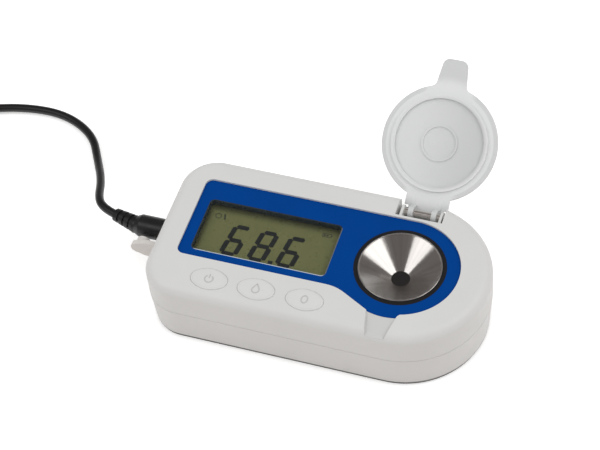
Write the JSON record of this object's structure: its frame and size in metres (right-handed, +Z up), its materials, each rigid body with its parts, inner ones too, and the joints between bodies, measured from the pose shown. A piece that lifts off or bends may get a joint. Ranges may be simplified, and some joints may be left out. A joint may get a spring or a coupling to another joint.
{
  "type": "digital refractometer",
  "caption": "Bench-top digital refractometer: flat display body with a conical steel sample well under a hinged clear lid, oval keys, a drain slot and a wound power lead.",
  "frame": {"origin": "middle of the body's flat base, on the bench", "axes": "+X from the display end to the sample well, +Y away from the user, +Z up"},
  "size_m": [0.288, 0.1173, 0.0611],
  "materials": {
    "casing": "satin moulded, off-white",
    "faceplate": "satin, deep blue",
    "window": "clear",
    "display": "grey-green, semi-gloss",
    "black_plastic": "moulded, black",
    "key": "smooth, white",
    "circuit_board": "lacquered, green",
    "well_steel": "turned",
    "steel": "plain bright",
    "plug_steel": "nickel plated",
    "contact_brass": "plain",
    "block_aluminium": "black anodised",
    "prism_glass": "polished",
    "amber_plastic": "clear tinted",
    "battery_wrap": "shrunk sleeve, dark blue",
    "lid": "frosted, translucent",
    "black_rubber": "matte",
    "grey_rubber": "matte",
    "white_rubber": "matte",
    "cord_rubber": "smooth, black"
  },
  "bodies": {
    "casing": {"upper_casing": "casing", "lower_casing": "casing", "casing_gasket": "grey_rubber", "casing_screws": "steel", "faceplate": "faceplate", "display_window": "window", "display_panel": "display", "display_frame": "black_plastic", "contact_strips": "grey_rubber", "main_board": "circuit_board", "board_chips": "black_plastic", "board_screws": "steel", "key_switches": "black_plastic", "sample_well": "well_steel", "well_ring": "black_rubber", "prism": "prism_glass", "prism_seal": "black_rubber", "optics_block": "block_aluminium", "optics_screws": "steel", "beam_lens": "prism_glass", "light_source": "amber_plastic", "sensor_board": "circuit_board", "line_sensor": "black_plastic", "temperature_probe": "steel", "battery_pack": "battery_wrap", "battery_pad": "grey_rubber", "battery_contacts": "contact_brass", "battery_cover": "casing", "battery_gasket": "grey_rubber", "battery_cover_screws": "steel", "hinge_pin": "steel", "power_jack": "black_plastic", "flap_strap": "white_rubber"},
    "lid_body": {"lid": "lid"},
    "power_key": {"power_button": "key"},
    "measure_key": {"measure_button": "key"},
    "adjust_key": {"adjust_button": "key"},
    "flap": {"port_flap": "white_rubber"},
    "lead": {"power_plug": "black_plastic", "plug_barrel": "plug_steel", "strain_relief": "black_rubber", "power_cord": "cord_rubber", "cord_coil": "cord_rubber", "cord_tail": "cord_rubber", "coil_tie": "cord_rubber", "usb_plug": "black_plastic", "usb_connector": "plug_steel"}
  },
  "joints": [
    {"name": "lid_hinge", "type": "hinge", "parent": "casing", "child": "lid_body", "pos_m": [0.03095, 0.0284, 0.028], "axis": [1, 0, 0], "range_deg": [0, 144]},
    {"name": "power_key_press", "type": "slide", "parent": "casing", "child": "power_key", "axis": [0, 0, -1], "range_m": [0, 0.0005], "stiffness_N_per_m": 400},
    {"name": "measure_key_press", "type": "slide", "parent": "casing", "child": "measure_key", "axis": [0, 0, -1], "range_m": [0, 0.0005], "stiffness_N_per_m": 400},
    {"name": "adjust_key_press", "type": "slide", "parent": "casing", "child": "adjust_key", "axis": [0, 0, -1], "range_m": [0, 0.0005], "stiffness_N_per_m": 400},
    {"name": "flap_hinge", "type": "hinge", "parent": "casing", "child": "flap", "pos_m": [-0.0659, -0.0032, 0.012], "axis": [0, 0, 1], "range_deg": [-4, 60]},
    {"name": "lead_pull", "type": "slide", "parent": "casing", "child": "lead", "axis": [-1, 0, 0], "range_m": [0, 0.012]}
  ]
}
